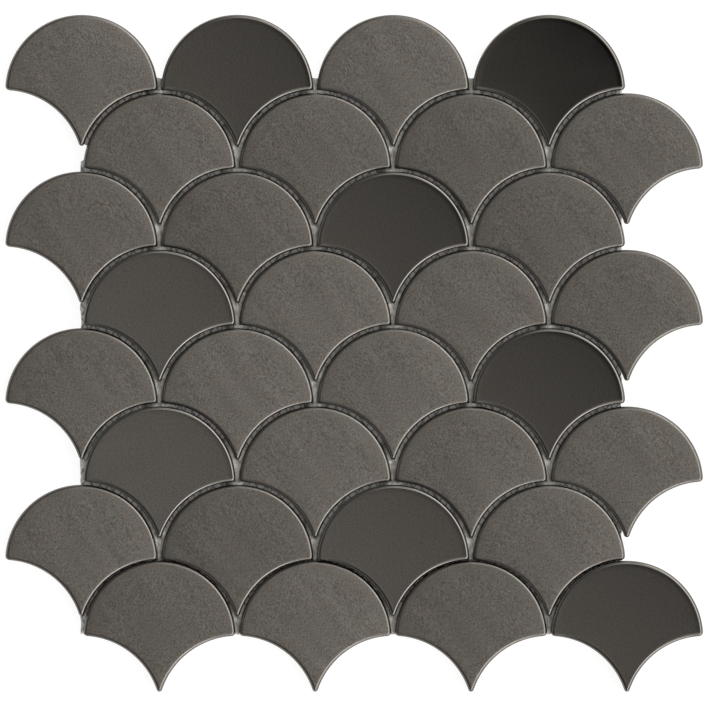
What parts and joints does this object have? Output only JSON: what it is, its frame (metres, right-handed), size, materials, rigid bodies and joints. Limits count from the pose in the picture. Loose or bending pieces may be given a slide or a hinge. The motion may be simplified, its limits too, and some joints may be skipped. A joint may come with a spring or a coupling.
{
  "type": "mosaic tile sheet",
  "caption": "Mosaic sheet of fan-shaped stainless steel chips in staggered rows, brushed with some polished, bonded to a fibreglass mesh.",
  "frame": {"origin": "middle of the underside of the backing, at the centre of the bounding box", "axes": "+Z out of the visible face of the chips, +X along the rows, +Y up the sheet as the picture shows it, towards the round backs of the fans"},
  "size_m": [0.3412, 0.331, 0.008],
  "materials": {
    "brushed_steel": "brushed diagonally, warm gunmetal grey",
    "polished_steel": "mirror polished, dark warm grey",
    "mesh": "resin-coated fibreglass net soaked with adhesive, grey",
    "adhesive": "clear glossy adhesive over grey net"
  },
  "bodies": {
    "root": {"brushed_chips": "brushed_steel", "polished_chips": "polished_steel", "mesh_backing": "mesh", "adhesive": "adhesive"}
  },
  "joints": []
}
